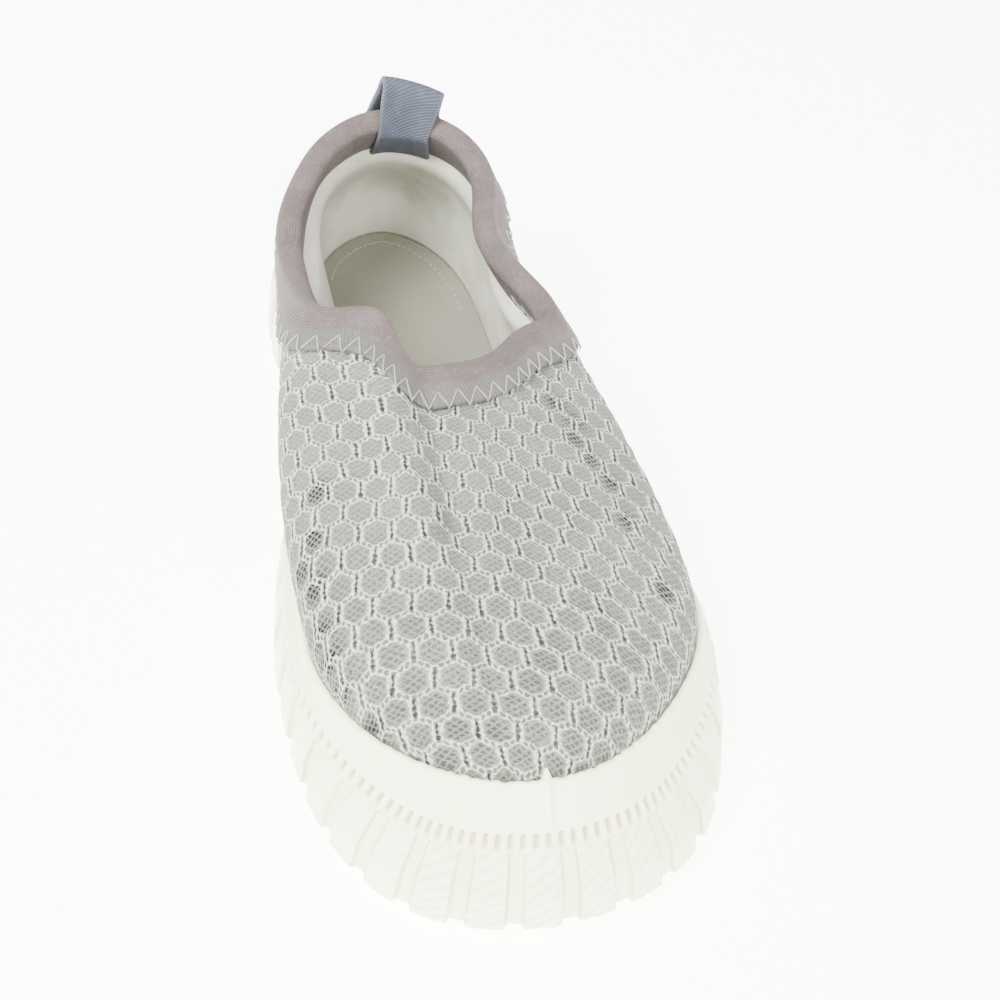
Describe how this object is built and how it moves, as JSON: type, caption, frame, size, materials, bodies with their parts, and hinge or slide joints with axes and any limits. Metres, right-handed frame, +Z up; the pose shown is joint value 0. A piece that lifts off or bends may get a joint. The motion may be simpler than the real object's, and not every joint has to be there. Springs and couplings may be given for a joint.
{
  "type": "water shoe",
  "caption": "Child's low slip-on water shoe with a knitted mesh upper, an elastic collar binding, a ribbon pull loop and a lugged, ribbed rubber sole.",
  "frame": {"origin": "middle of the shoe's plan, on the floor it stands on", "axes": "+Z up; the toe points to -Y and the heel to +Y; +X is the outer, lateral side of this left shoe"},
  "size_m": [0.075, 0.1735, 0.0573],
  "materials": {
    "cream_rubber": "satin",
    "grey_mesh_fabric": "matte",
    "lilac_grey_elastic": "matte",
    "pale_insole_foam": "matte",
    "slate_twill_ribbon": "matte"
  },
  "bodies": {
    "root": {"sole": "cream_rubber", "upper": "grey_mesh_fabric", "collar_binding": "lilac_grey_elastic", "insole": "pale_insole_foam", "pull_loop": "slate_twill_ribbon"}
  },
  "joints": []
}
